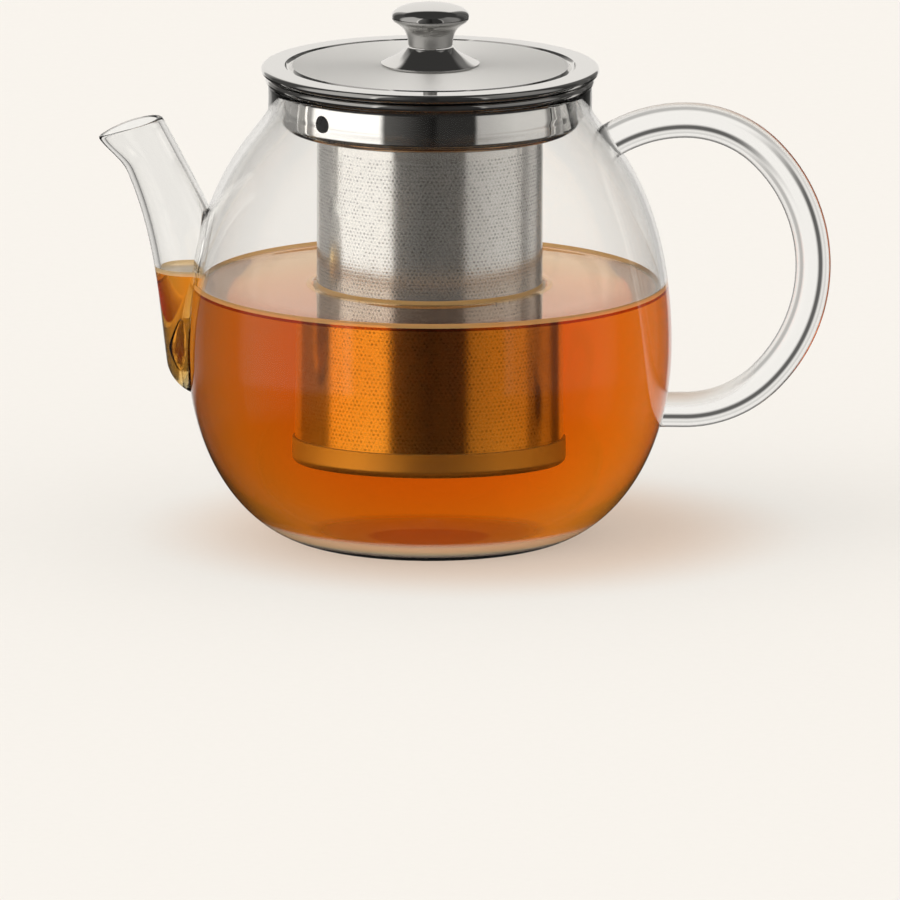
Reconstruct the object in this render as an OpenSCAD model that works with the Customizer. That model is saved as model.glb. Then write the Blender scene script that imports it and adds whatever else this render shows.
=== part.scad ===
// Glass teapot with a hanging steel infuser and a loose steel lid.
// Millimetres, +Z up. The origin is the centre of the foot, on the pot's axis.
// The handle points to +X and the spout to -X.

/* [Glass pot] */
// Largest outer radius of the belly
belly_r = 67.5; // [63:0.5:73]
// Height of the widest ring of the belly
belly_z = 55; // [50:0.5:60]
// Radius of the flat foot that the pot stands on
foot_r = 31; // [27:0.5:35]
// How far the foot's curve runs out before it climbs
foot_sweep = 17; // [12:0.5:22]
// How far the belly stays upright below its widest ring
belly_low = 35; // [28:0.5:42]
// How far the belly stays upright above its widest ring
belly_high = 49.5; // [42:0.5:54]
// Outer radius of the straight neck
neck_r = 45; // [42:0.5:48]
// Height of the straight part of the neck
neck_h = 6.6; // [5:0.1:9]
// How sharply the shoulder turns into the neck (smaller is sharper)
neck_sweep = 6; // [4:0.5:10]
// Height of the pot's rim
rim_z = 128.5; // [122:0.5:136]
// Thickness of the blown wall
glass_t = 2; // [1.6:0.1:2.6]
// Thickness of the glass floor in its middle
floor_t = 4.4; // [2.6:0.1:5.5]
// Radius of the inside floor
floor_r = 42; // [38:0.5:44]
// How much higher the floor is at its edge than in its middle
floor_dish = 1.4; // [0.2:0.1:2.5]
// How far the inside runs out past the floor before it turns up
heel_run = 6; // [3:0.5:9]
// How far it has climbed there
heel_climb = 4.2; // [2:0.2:7]

/* [Spout] */
// Outer radius of the spout at its mouth
mouth_r = 7.8; // [7:0.1:9]
// How far the mouth's centre stands out past the belly
mouth_out = 14.8; // [10:0.5:20]
// How far the mouth's centre lies below the pot's rim
mouth_drop = 11; // [8:0.5:18]
// Lean of the spout's upper part from upright, in degrees
mouth_lean = 28; // [20:1:34]
// Outer radius of the bulb at the spout's root
bulb_r = 11.8; // [10:0.1:13]
// How deep the bulb's centre lies inside the belly's widest ring
bulb_in = 6; // [5:0.5:8]
// Height of the bulb's centre
bulb_z = 52; // [48:0.5:58]
// Thickness of the spout's wall
spout_t = 1.6; // [1.2:0.1:2]
// How far the pouring lip stands out from the mouth
lip_out = 2.8; // [1:0.1:4]
// How far the pouring lip droops
lip_droop = 1.6; // [0:0.1:3]
// How much flatter the mouth is cut than square to the spout, in degrees
mouth_cut = 12; // [0:1:20]
// Radius of the pouring hole in the pot's wall, inside the spout
pour_hole_r = 7; // [5:0.5:8]

/* [Handle] */
// Radius of the solid glass rod
rod_r = 3.85; // [3.2:0.05:4.6]
// How far the rod's middle line stands out past the belly
handle_out = 40.3; // [34:0.5:46]
// How far outside the belly the handle is highest and lowest
crown_out = 3.6; // [2:0.1:6]
// Height of the rod's middle line at the top, below the pot's rim
crown_drop = 8.8; // [6:0.1:12]
// Height of the rod's middle line at the bottom
handle_low = 36.6; // [32:0.5:44]
// Bend radius of the rod from its highest point in to the shoulder
shoulder_bend = 39.8; // [34:0.5:46]
// Radius of the rod's swollen end, where it is fused on
weld_r = 4.9; // [4.7:0.1:6]
// Length over which the rod swells towards its fused end
weld_len = 5; // [4:0.5:10]

/* [Infuser] */
// Gap between the glass neck and the infuser's collar
neck_gap = 1.9; // [1:0.1:3]
// Thickness of the collar's spun steel
collar_t = 0.8; // [0.6:0.1:1.2]
// Depth of the collar, from the pot's rim to its shoulder
collar_depth = 12.7; // [11:0.1:16]
// Radius of the collar's bottom corner
collar_corner = 2.8; // [1.5:0.1:4]
// How far the flange reaches out past the neck
flange_over = 0.8; // [0.4:0.1:2]
// Height of the flange's rolled edge
flange_h = 2.4; // [1.8:0.1:3]
// Outer radius of the filter sleeve
sleeve_r = 31.4; // [28:0.1:34]
// Thickness of the filter sleeve
sleeve_t = 0.4; // [0.3:0.05:0.6]
// Clear height from the glass floor to the infuser
floor_gap = 21.3; // [15:0.1:30]
// Thickness of the filter disc in the infuser's base
base_t = 0.5; // [0.3:0.05:0.8]
// Height of the plain band around the infuser's base
band_h = 6.5; // [4:0.5:10]
// Thickness of that band
band_t = 0.5; // [0.4:0.05:0.8]
// Width of the band's lip under the base
band_lip = 3.5; // [2.5:0.5:6]
// Radius of the band's bottom corner
band_corner = 2; // [1.2:0.1:2.4]
// Radius of the air hole in the collar
vent_r = 2.5; // [1.5:0.1:3]
// Height of the air hole above the collar's shoulder
vent_up = 6.5; // [6:0.1:8]
// Where the air hole lies, in degrees from the front towards the spout
vent_turn = 45.7; // [0:0.1:80]

/* [Lid] */
// How far the lid's rolled edge reaches out past the flange
lid_over = 1.2; // [0.6:0.1:2]
// Height of the lid's rolled edge
lid_edge_h = 2.4; // [1.8:0.1:3]
// Thickness of the lid's sheet
lid_t = 0.8; // [0.6:0.1:1]
// Width of the pressed ring between the edge and the groove
lid_ring_w = 7.5; // [5:0.5:10]
// Half the width of the groove
groove_w = 1; // [0.5:0.1:1.5]
// Depth of the groove
groove_d = 1; // [0.3:0.1:1.2]
// Depth of the skirt that keeps the lid centred, below the lid's top
skirt_h = 9; // [6:0.5:12]
// Thickness of the skirt
skirt_t = 0.6; // [0.5:0.05:0.8]
// Width of the skirt's flange, welded under the lid
skirt_flange = 3; // [2:0.5:5]

/* [Knob] */
// Radius of the trumpet-shaped ferrule at the lid
ferrule_r = 13.7; // [11:0.1:16]
// Height of the ferrule
ferrule_h = 5.5; // [4.5:0.1:7]
// Width of the ferrule's flat foot ring, before it climbs
ferrule_sweep = 4.5; // [3:0.5:6]
// How soon the ferrule turns upright towards the waist
ferrule_rise = 2.2; // [1:0.1:3]
// Radius of the waist, where the knob stands on the ferrule
waist_r = 6.2; // [5.5:0.1:7]
// Largest radius of the knob
knob_r = 10.8; // [9:0.1:13]
// Height of the knob above the ferrule
knob_h = 12; // [11:0.1:16]
// Height of the knob's rounded top, above its widest ring
dome_h = 3.6; // [2.5:0.1:5]
// How high the knob's stem stays slim
stem_h = 7; // [5:0.5:8]
// How softly the stem swells into the widest ring
knob_swell = 2.5; // [1:0.5:4]
// Radius of the screw's shank
screw_r = 1.95; // [1.5:0.05:2.5]
// Length of the screw's shank in the knob
screw_grip = 7; // [4:0.5:8]
// Radius of the screw's head
head_r = 3.8; // [3:0.1:4.5]
// Height of the screw's head
head_h = 2.4; // [1.8:0.1:3]
// Outer radius of the washer
washer_r = 5; // [4.6:0.1:6]
// Thickness of the washer
washer_t = 0.8; // [0.6:0.1:1.2]

/* [Hidden] */

// Clearances
rest_gap = 0.25;    // between the glass rim and the flange that hangs on it
lid_gap = 0.3;      // between the flange and the lid that lies on it
thread_gap = 0.05;  // between the screw and the knob's bore
hole_gap = 0.3;     // between the screw and the holes it passes through
skirt_gap = 1.9;    // between the lid's skirt and the collar
dome_hold = 0.6;    // how full the knob's rounded top is
ferrule_edge = 0.6;   // height of the ferrule's edge on the lid
ferrule_climb = 1;    // how far the ferrule has climbed at the end of its foot ring
ferrule_flare = 0.4;  // how far the ferrule still leans out just below the waist
slot_w = 1;           // width of each arm of the cross in the screw's head
slot_share = 0.55;    // reach of each arm, as a share of the head's radius
head_taper = 0.8;     // how much narrower the screw's head is at its end

// Smoothness
turn_fn = 96;        // steps of a full turn
curve_steps = 14;    // points along each curve of an outline
edge_steps = 8;      // points around a rolled edge
tube_sides = 28;     // sides of the spout
tube_rings = 18;     // rings along the spout
cap_rings = 5;       // rings in the spout's closed bulb
$fn = turn_fn;

// Points along a cubic curve, and the direction it runs in there
function cubic(p, t) = pow(1 - t, 3) * p[0] + 3 * pow(1 - t, 2) * t * p[1]
    + 3 * (1 - t) * t * t * p[2] + pow(t, 3) * p[3];
function cubic_run(p, t) = 3 * pow(1 - t, 2) * (p[1] - p[0])
    + 6 * (1 - t) * t * (p[2] - p[1]) + 3 * t * t * (p[3] - p[2]);
function curve(p) = [for (i = [0:curve_steps]) cubic(p, i / curve_steps)];

// The same points moved sideways by d, to the left of the direction of travel
function left_of(run) = [-run[1], run[0]] / norm(run);
function curve_offset(p, d) =
    [for (i = [0:curve_steps]) let (t = i / curve_steps) cubic(p, t) + d * left_of(cubic_run(p, t))];

// Points of an arc about c, from angle a to angle b
function arc(c, r, a, b, steps) =
    [for (i = [0:steps]) let (k = a + (b - a) * i / steps) c + r * [cos(k), sin(k)]];

// The pot's outline
neck_z = rim_z - neck_h;
foot_curve = [[foot_r, 0], [foot_r + foot_sweep, 0], [belly_r, belly_z - belly_low], [belly_r, belly_z]];
shoulder_curve = [[belly_r, belly_z], [belly_r, belly_z + belly_high],
                  [neck_r, neck_z - neck_sweep], [neck_r, neck_z]];
heel_z = floor_t + floor_dish;
heel_curve = [[floor_r, heel_z], [floor_r + heel_run, heel_z + heel_climb],
              [belly_r - glass_t, belly_z - belly_low], [belly_r - glass_t, belly_z]];
rim_round = glass_t / 2;
rim_arc_z = rim_z - rim_round;

// Where the infuser hangs
collar_r = neck_r - glass_t - neck_gap;
flange_r = neck_r + flange_over;
flange_z = rim_z + rest_gap;
flange_top = flange_z + flange_h;
shoulder_z = rim_z - collar_depth;
basket_z = floor_t + floor_gap;

// Where the lid lies
lid_r = flange_r + lid_over;
lid_z = flange_top + lid_gap;
lid_top = lid_z + lid_edge_h;
groove_r = lid_r - lid_ring_w;
lid_under = lid_top - lid_t;
skirt_r = collar_r - collar_t - skirt_gap;
waist_z = lid_top + ferrule_h;
screw_hole_r = screw_r + hole_gap;

// Where the handle runs
crown_x = belly_r + crown_out;
crown_z = rim_z - crown_drop;
loop_half_w = handle_out - crown_out;
loop_half_h = (crown_z - handle_low) / 2;
// Two radii that meet at 45 degrees make each quarter of the loop
join = cos(45);
crown_bend = (join * loop_half_w - (1 - join) * loop_half_h) / (2 * join - 1);
side_bend = (join * loop_half_h - (1 - join) * loop_half_w) / (2 * join - 1);
weld_sink = 1.5;      // how far the rod is drawn on into the pot before it is cut back to it
shoulder_c = [crown_x, crown_z - shoulder_bend];
function rod_at(turn) = shoulder_c + shoulder_bend * [-sin(turn), cos(turn)];
// The pot's outer radius at height z
pot_radii = [for (p = concat(curve(foot_curve), curve(shoulder_curve))) [p[1], p[0]]];
function pot_r(z) = lookup(z, pot_radii);
low_touch_x = pot_r(handle_low);
// How far the rod turns down from its highest point before it meets the shoulder, in degrees
touch_turn = [for (a = [5:0.25:80]) if (rod_at(a)[0] <= pot_r(rod_at(a)[1])) a][0];
function turn_over(length) = length / shoulder_bend * 180 / PI;

// Where the spout runs: from the bulb up to the mouth, in the X-Z plane
bulb = [-(belly_r - bulb_in), bulb_z];
mouth = [-(belly_r + mouth_out), rim_z - mouth_drop];
bulb_lean = 6;        // lean of the spout from upright just above the bulb, in degrees
bulb_reach = 24;      // how far the spout keeps that lean
mouth_reach = 26;     // how far it keeps the mouth's lean
spout_line = [bulb, bulb + bulb_reach * [-sin(bulb_lean), cos(bulb_lean)],
              mouth - mouth_reach * [-sin(mouth_lean), cos(mouth_lean)], mouth];
bulb_hold = 0.5;      // how much the bulb swells above its centre
throat_in = 0.5;      // how much narrower the throat is than the mouth
spout_radii = [bulb_r, bulb_r + bulb_hold, mouth_r - throat_in, mouth_r];
cut_start = 0.78;     // where along the spout the rings begin to turn flatter
lip_start = 0.84;     // where the pouring lip begins

// From 0 at a to 1 at b, with soft ends
function ease(x, a, b) = let (k = min(1, max(0, (x - a) / (b - a)))) k * k * (3 - 2 * k);

// One ring of the spout at share s of its length, on a tube thinned by t
function spout_ring(s, t) = let (
    at = cubic(spout_line, s),
    run = cubic_run(spout_line, s),
    lean = atan2(-run[0], run[1]) - mouth_cut * ease(s, cut_start, 1),
    r = cubic(spout_radii, s) - t,
    lip = ease(s, lip_start, 1))
    [for (i = [0:tube_sides - 1]) let (
        k = 360 * i / tube_sides,
        pour = lip * pow(max(0, cos(k)), 3))
        [at[0] - r * cos(k) * cos(lean) - pour * lip_out,
         r * sin(k),
         at[1] - r * cos(k) * sin(lean) - pour * lip_droop]];

// One ring of the closed bulb below the spout, at angle a under its widest ring
function bulb_ring(a, t) = let (
    run = cubic_run(spout_line, 0),
    dir = run / norm(run),
    r = (bulb_r - t) * cos(a),
    at = bulb - (bulb_r - t) * sin(a) * dir)
    [for (i = [0:tube_sides - 1]) let (k = 360 * i / tube_sides)
        [at[0] - r * cos(k) * dir[1], r * sin(k), at[1] + r * cos(k) * dir[0]]];

function bulb_pole(t) = let (
    run = cubic_run(spout_line, 0),
    at = bulb - (bulb_r - t) * run / norm(run))
    [at[0], 0, at[1]];

// All rings of one skin, from the bulb's pole to the mouth
function skin(t) = concat(
    [for (i = [1:cap_rings]) bulb_ring(90 - 90 * i / (cap_rings + 1), t)],
    [for (i = [0:tube_rings]) spout_ring(i / tube_rings, t)]);

// Faces between ring i and ring j, counted from point number start
function band(start, i, j) = [for (k = [0:tube_sides - 1]) let (
    a = start + i * tube_sides + k, b = start + i * tube_sides + (k + 1) % tube_sides,
    c = start + j * tube_sides + k, d = start + j * tube_sides + (k + 1) % tube_sides)
    each [[a, b, d], [a, d, c]]];

// Solids that other pieces are cut back to
module pot_outside() {
    rotate_extrude() polygon(concat([[0, 0]], curve(foot_curve), curve(shoulder_curve),
        [[neck_r, rim_z], [0, rim_z]]));
}

module pot_inside() {
    rotate_extrude() polygon(concat([[0, floor_t]], curve(heel_curve), curve_offset(shoulder_curve, glass_t),
        [[neck_r - glass_t, rim_z + 1], [0, rim_z + 1]]));
}

// Glass pieces
module glass_body() {
    rim_mid_r = neck_r - rim_round;
    color([0.86, 0.9, 0.9, 0.35]) difference() {
        rotate_extrude() polygon(concat([[0, 0]], curve(foot_curve), curve(shoulder_curve),
            arc([rim_mid_r, rim_arc_z], rim_round, 0, 90, edge_steps / 2),
            [[0, rim_z]]));
        pot_inside();
        // the inner half of the rim's round edge
        rotate_extrude() polygon(concat([[rim_mid_r - rim_round - 1, rim_z + 1]],
            [[rim_mid_r - rim_round - 1, rim_arc_z]],
            arc([rim_mid_r, rim_arc_z], rim_round, 180, 90, edge_steps / 2),
            [[rim_mid_r, rim_z + 1]]));
        // the hole that the tea is poured through
        translate([-belly_r - glass_t, 0, bulb_z + pour_hole_r / 2])
            rotate([0, 90, 0]) cylinder(r = pour_hole_r, h = 4 * glass_t + bulb_in);
    }
}

module spout() {
    outer = skin(0);
    inner = skin(spout_t);
    n = len(outer);
    rings = concat(outer, [for (i = [n - 1:-1:0]) inner[i]]);
    points = concat([for (ring = rings) each ring], [bulb_pole(0), bulb_pole(spout_t)]);
    outer_pole = 2 * n * tube_sides;
    last = (2 * n - 1) * tube_sides;
    faces = concat(
        [for (i = [0:2 * n - 2]) each band(0, i, i + 1)],
        [for (k = [0:tube_sides - 1]) [outer_pole, (k + 1) % tube_sides, k]],
        [for (k = [0:tube_sides - 1]) [outer_pole + 1, last + k, last + (k + 1) % tube_sides]]);
    color([0.86, 0.9, 0.9, 0.35]) difference() {
        polyhedron(points = points, faces = faces);
        pot_outside();
    }
}

// A length of the rod bent about the point c of the X-Z plane, from angle a to angle b
module rod_bend(c, bend, a, b) {
    translate([c[0], 0, c[1]]) rotate([90, 0, 0]) rotate([0, 0, a])
        rotate_extrude(angle = b - a) translate([bend, 0]) circle(r = rod_r);
}

module handle() {
    crown_c = crown_z - crown_bend;
    low_c = handle_low + crown_bend;
    side_x = crown_x + (crown_bend - side_bend) * join;
    mid_z = (crown_z + handle_low) / 2;
    weld_at = rod_at(touch_turn - turn_over(weld_len));
    weld_lean = touch_turn - turn_over(weld_len) / 2;
    weld_h = weld_len + 2 * weld_sink;
    end_r = rod_r + (weld_r - rod_r) * weld_h / weld_len;
    color([0.86, 0.9, 0.9, 0.35]) difference() {
        union() {
            rod_bend(shoulder_c, shoulder_bend, 90, 90 + touch_turn + turn_over(weld_sink));
            rod_bend([crown_x, crown_c], crown_bend, 45, 90);
            rod_bend([side_x, mid_z], side_bend, -45, 45);
            rod_bend([crown_x, low_c], crown_bend, -90, -45);
            translate([low_touch_x - weld_sink, 0, handle_low]) rotate([0, 90, 0])
                cylinder(r = rod_r, h = crown_x - low_touch_x + weld_sink);
            // the swollen ends, fused to the shoulder and to the belly
            translate([weld_at[0], 0, weld_at[1]]) rotate([0, -90 - weld_lean, 0])
                cylinder(r1 = rod_r, r2 = end_r, h = weld_h);
            translate([low_touch_x + weld_len, 0, handle_low]) rotate([0, -90, 0])
                cylinder(r1 = rod_r, r2 = end_r, h = weld_h);
        }
        pot_outside();
    }
}

// Infuser pieces
module infuser_collar() {
    bead = flange_h / 2;
    bead_r = flange_r - bead;
    bead_z = flange_z + bead;
    plate_z = flange_top - collar_t;
    corner_r = collar_r - collar_corner;
    corner_z = shoulder_z + collar_corner;
    color([0.78, 0.78, 0.77]) difference() {
        rotate_extrude() polygon(concat(
            arc([bead_r, bead_z], bead, -180, 90, edge_steps),
            [[collar_r - collar_t, flange_top], [collar_r - collar_t, corner_z]],
            arc([corner_r, corner_z], collar_corner - collar_t, 0, -90, edge_steps / 2),
            [[sleeve_r - sleeve_t, shoulder_z + collar_t], [sleeve_r - sleeve_t, shoulder_z]],
            arc([corner_r, corner_z], collar_corner, -90, 0, edge_steps / 2),
            [[collar_r, plate_z], [bead_r - bead, plate_z]]));
        translate([0, 0, shoulder_z + vent_up]) rotate([0, 0, -90 - vent_turn]) rotate([0, 90, 0])
            translate([0, 0, collar_r - 3 * collar_t]) cylinder(r = vent_r, h = 6 * collar_t);
    }
}

module infuser_sleeve() {
    bottom = basket_z + band_corner;
    color([0.66, 0.66, 0.64]) translate([0, 0, bottom]) difference() {
        cylinder(r = sleeve_r, h = shoulder_z - bottom);
        translate([0, 0, -1]) cylinder(r = sleeve_r - sleeve_t, h = shoulder_z - bottom + 2);
    }
}

module infuser_base() {
    color([0.6, 0.6, 0.58]) translate([0, 0, basket_z + band_t])
        cylinder(r = sleeve_r + band_t - band_corner, h = base_t);
}

module infuser_band() {
    corner = [sleeve_r + band_t - band_corner, basket_z + band_corner];
    lip_r = sleeve_r - band_lip;
    color([0.72, 0.72, 0.7]) rotate_extrude() polygon(concat(
        [[lip_r, basket_z]],
        arc(corner, band_corner, -90, 0, edge_steps),
        [[sleeve_r + band_t, basket_z + band_h], [sleeve_r, basket_z + band_h]],
        arc(corner, band_corner - band_t, 0, -90, edge_steps),
        [[lip_r, basket_z + band_t]]));
}

// Lid pieces
module lid_disc() {
    bead = lid_edge_h / 2;
    bead_r = lid_r - bead;
    bead_z = lid_z + bead;
    color([0.8, 0.8, 0.79]) rotate_extrude() polygon(concat(
        [[screw_hole_r, lid_under], [groove_r - groove_w, lid_under],
         [groove_r, lid_under - groove_d], [groove_r + groove_w, lid_under]],
        [[bead_r - bead, lid_under]],
        arc([bead_r, bead_z], bead, 180, 450, edge_steps),
        [[groove_r + groove_w, lid_top], [groove_r, lid_top - groove_d],
         [groove_r - groove_w, lid_top], [screw_hole_r, lid_top]]));
}

module lid_skirt() {
    low = lid_top - skirt_h;
    color([0.74, 0.74, 0.73]) rotate_extrude() polygon([
        [skirt_r, low], [skirt_r, lid_under], [skirt_r - skirt_flange, lid_under],
        [skirt_r - skirt_flange, lid_under - skirt_t], [skirt_r - skirt_t, lid_under - skirt_t],
        [skirt_r - skirt_t, low]]);
}

module knob_ferrule() {
    edge_z = lid_top + ferrule_edge;
    trumpet = [[ferrule_r, edge_z], [ferrule_r - ferrule_sweep, edge_z + ferrule_climb],
               [waist_r + ferrule_flare, waist_z - ferrule_rise], [waist_r, waist_z]];
    color([0.7, 0.7, 0.69]) rotate_extrude() polygon(concat(
        [[screw_hole_r, lid_top], [ferrule_r - ferrule_edge / 2, lid_top],
         [ferrule_r, lid_top + ferrule_edge / 2]],
        curve(trumpet), [[screw_hole_r, waist_z]]));
}

module lid_knob() {
    top = waist_z + knob_h;
    bore_top = waist_z + screw_grip + thread_gap;
    widest_z = top - dome_h;
    stem = [[waist_r, waist_z], [waist_r, waist_z + stem_h],
            [knob_r, widest_z - knob_swell], [knob_r, widest_z]];
    dome = [[knob_r, widest_z], [knob_r, widest_z + dome_h * dome_hold],
            [knob_r * dome_hold, top], [0, top]];
    color([0.76, 0.76, 0.75]) rotate_extrude() polygon(concat(
        [[screw_r + thread_gap, waist_z]], curve(stem), curve(dome),
        [[0, bore_top], [screw_r + thread_gap, bore_top]]));
}

module knob_washer() {
    color([0.7, 0.7, 0.7]) translate([0, 0, lid_under - washer_t]) difference() {
        cylinder(r = washer_r, h = washer_t);
        translate([0, 0, -1]) cylinder(r = screw_hole_r, h = washer_t + 2);
    }
}

module knob_screw() {
    head_top = lid_under - washer_t;
    slot_l = 2 * slot_share * head_r;
    color([0.66, 0.66, 0.66]) difference() {
        union() {
            translate([0, 0, head_top - head_h]) cylinder(r1 = head_r * head_taper, r2 = head_r, h = head_h);
            translate([0, 0, head_top - head_h / 2])
                cylinder(r = screw_r, h = waist_z + screw_grip - head_top + head_h / 2);
        }
        // the cross that a screwdriver fits
        for (a = [0, 90]) translate([0, 0, head_top - head_h]) rotate([0, 0, a])
            cube([slot_l, slot_w, head_h], center = true);
    }
}

glass_body();
spout();
handle();
infuser_collar();
infuser_sleeve();
infuser_base();
infuser_band();
lid_disc();
lid_skirt();
knob_ferrule();
lid_knob();
knob_washer();
knob_screw();
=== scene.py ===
"""Looks of a glass teapot with a hanging steel infuser, a loose steel lid and tea in it."""
import math

import bpy
from mathutils import Matrix, Vector


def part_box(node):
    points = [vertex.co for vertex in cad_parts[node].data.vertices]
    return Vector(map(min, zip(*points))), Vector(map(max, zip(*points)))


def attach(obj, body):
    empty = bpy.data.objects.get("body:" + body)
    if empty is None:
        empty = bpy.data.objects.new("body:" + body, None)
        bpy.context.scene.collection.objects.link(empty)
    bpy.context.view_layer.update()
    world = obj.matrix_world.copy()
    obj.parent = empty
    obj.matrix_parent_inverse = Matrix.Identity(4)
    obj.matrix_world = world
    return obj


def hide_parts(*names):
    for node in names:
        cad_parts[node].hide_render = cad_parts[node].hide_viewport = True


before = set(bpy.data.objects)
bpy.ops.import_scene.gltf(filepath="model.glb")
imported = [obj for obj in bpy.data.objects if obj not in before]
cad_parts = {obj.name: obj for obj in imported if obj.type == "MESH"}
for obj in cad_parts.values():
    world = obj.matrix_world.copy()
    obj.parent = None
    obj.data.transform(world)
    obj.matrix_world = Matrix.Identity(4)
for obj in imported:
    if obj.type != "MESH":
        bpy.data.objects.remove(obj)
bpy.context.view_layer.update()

# Geometry is worked out in millimetres and scaled to metres when a mesh is made.
MM = 0.001


def box_mm(node):
    """Lowest and highest corner of a CAD node, in millimetres."""
    low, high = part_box(node)
    return low / MM, high / MM


# ---------------------------------------------------------------- sizes, in millimetres
# Glass pot
belly_r = box_mm("glass_body")[1].y
rim_z = box_mm("glass_body")[1].z
belly_z = 55.0
foot_r = 31.0
foot_sweep = 17.0
belly_low = 35.0
belly_high = 49.5
neck_r = 45.0
neck_h = 6.6
neck_sweep = 6.0
glass_t = 2.0
floor_t = 4.4
floor_r = 42.0
heel_z = floor_t + 1.4
heel_run = 6.0
heel_climb = 4.2
neck_z = rim_z - neck_h

# Spout
mouth_r = 7.8
mouth_out = 14.8
mouth_drop = 11.0
mouth_lean = math.radians(28)
bulb_r = 11.8
bulb_in = 6.0
bulb_z = 52.0
bulb_lean = math.radians(6)
bulb_reach = 24.0
mouth_reach = 26.0
bulb_hold = 0.5
throat_in = 0.5
spout_t = 1.6
lip_out = 2.8
lip_droop = 1.6
mouth_cut = math.radians(12)
cut_start = 0.78
lip_start = 0.84
pour_hole_r = 7.0

# Handle
rod_r = box_mm("handle")[1].y
handle_x = box_mm("handle")[1].x - rod_r
crown_z = box_mm("handle")[1].z - rod_r
crown_x = belly_r + 3.6
handle_low = 36.6
shoulder_bend = 39.8
weld_r = 4.9
weld_len = 5.0

# Infuser
flange_r = box_mm("infuser_collar")[1].x
flange_top = box_mm("infuser_collar")[1].z
shoulder_z = box_mm("infuser_collar")[0].z
flange_h = 2.4
collar_r = 41.1
collar_t = 0.8
collar_corner = 2.8
sleeve_r = box_mm("infuser_sleeve")[1].x
sleeve_low = box_mm("infuser_sleeve")[0].z
sleeve_t = 0.4
band_r = box_mm("infuser_band")[1].x
band_low = box_mm("infuser_band")[0].z
band_top = box_mm("infuser_band")[1].z
band_lip = 3.5
band_corner = 2.0
vent_r = 2.5
vent_up = 6.5
vent_turn = math.radians(45.7)

# Lid and knob
lid_r = box_mm("lid_disc")[1].x
lid_z = box_mm("lid_disc")[0].z
lid_top = box_mm("lid_disc")[1].z
lid_t = 0.8
lid_edge_h = 2.4
lid_ring_w = 7.5
groove_w = 1.0
groove_d = 1.0
screw_hole_r = 2.25
ferrule_r = box_mm("knob_ferrule")[1].x
waist_z = box_mm("knob_ferrule")[1].z
waist_r = 6.2
knob_r = box_mm("lid_knob")[1].x
knob_top = box_mm("lid_knob")[1].z
dome_h = 3.6
stem_h = 7.0
knob_swell = 2.5
dome_hold = 0.6

# Tea
tea_z = 72.0          # level in the pot
spout_tea_z = 75.6    # level in the narrow spout
wall_rise = 1.2       # how far the tea creeps up the glass
sleeve_rise = 1.2     # how far it creeps up the sleeve
sleeve_reach = 2.6    # how wide that edge is
spout_rise = 1.2      # how far it creeps up inside the spout
# painted shade: the dark line drawn into the tea below its surface's edge
painted_shade_h = 1.0         # height of the dark line below the surface's edge
tea_overlap = 0.12    # how far the tea reaches into the glass, so that no air shows between
weld_sink = 0.35      # how far the fused-on pieces reach into the pot's wall

# Smoothness
TURN = 192            # steps of a full turn
FINE = 40             # points along each long curve of an outline
EDGE = 14             # points round a rolled edge
SHARP = math.radians(32)


# ---------------------------------------------------------------- outlines
def cubic(p, t):
    return (p[0] * (1 - t) ** 3 + p[1] * 3 * (1 - t) ** 2 * t
            + p[2] * 3 * (1 - t) * t ** 2 + p[3] * t ** 3)


def cubic_run(p, t):
    return ((p[1] - p[0]) * 3 * (1 - t) ** 2 + (p[2] - p[1]) * 6 * (1 - t) * t
            + (p[3] - p[2]) * 3 * t ** 2)


def curve(p, aside=0.0, steps=FINE):
    """Points along a cubic, moved to the left of its direction of travel."""
    points = []
    for i in range(steps + 1):
        run = cubic_run(p, i / steps).normalized()
        points.append(cubic(p, i / steps) + Vector((-run.y, run.x)) * aside)
    return points


def arc(x, z, r, start, end, steps=EDGE):
    """Points round (x, z) from one angle to another, in degrees."""
    turns = [math.radians(start + (end - start) * i / steps) for i in range(steps + 1)]
    return [Vector((x + r * math.cos(a), z + r * math.sin(a))) for a in turns]


def line(*points):
    return [Vector(p) for p in points]


def ease(x, a, b):
    k = min(1.0, max(0.0, (x - a) / (b - a)))
    return k * k * (3 - 2 * k)


foot_curve = line((foot_r, 0), (foot_r + foot_sweep, 0), (belly_r, belly_z - belly_low), (belly_r, belly_z))
shoulder_curve = line((belly_r, belly_z), (belly_r, belly_z + belly_high), (neck_r, neck_z - neck_sweep),
                      (neck_r, neck_z))
heel_curve = line((floor_r, heel_z), (floor_r + heel_run, heel_z + heel_climb),
                  (belly_r - glass_t, belly_z - belly_low), (belly_r - glass_t, belly_z))


def hollow(outwards=0.0):
    """The outline of the pot's inside from the floor to the neck."""
    return curve(heel_curve, -outwards) + curve(shoulder_curve, glass_t - outwards)[1:]


def wall(aside):
    """The pot's outline from the foot to the neck, moved inwards."""
    return curve(foot_curve, aside) + curve(shoulder_curve, aside)[1:]


def wall_r(aside, z):
    """Radius of that outline at a height."""
    points = wall(aside)
    for a, b in zip(points, points[1:]):
        if a.y <= z <= b.y:
            return a.x + (b.x - a.x) * (z - a.y) / max(b.y - a.y, 1e-9)
    return neck_r - aside


# ---------------------------------------------------------------- meshes
def piece(name, points, faces, material):
    """A smooth closed mesh of points in millimetres, facing outwards, with its sharp edges kept."""
    mesh = bpy.data.meshes.new(name)
    mesh.from_pydata([Vector(p) * MM for p in points], [], faces)
    mesh.validate()
    corners = [[mesh.vertices[i].co for i in face.vertices] for face in mesh.polygons]
    if sum(c[0].dot(c[i].cross(c[i + 1])) for c in corners for i in range(1, len(c) - 1)) < 0:
        mesh.flip_normals()
    mesh.materials.append(material)
    made = bpy.data.objects.new(name, mesh)
    bpy.context.scene.collection.objects.link(made)
    smooth(made)
    return made


def smooth(made):
    made.data.shade_smooth()
    made.data.set_sharp_from_angle(angle=SHARP)


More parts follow.
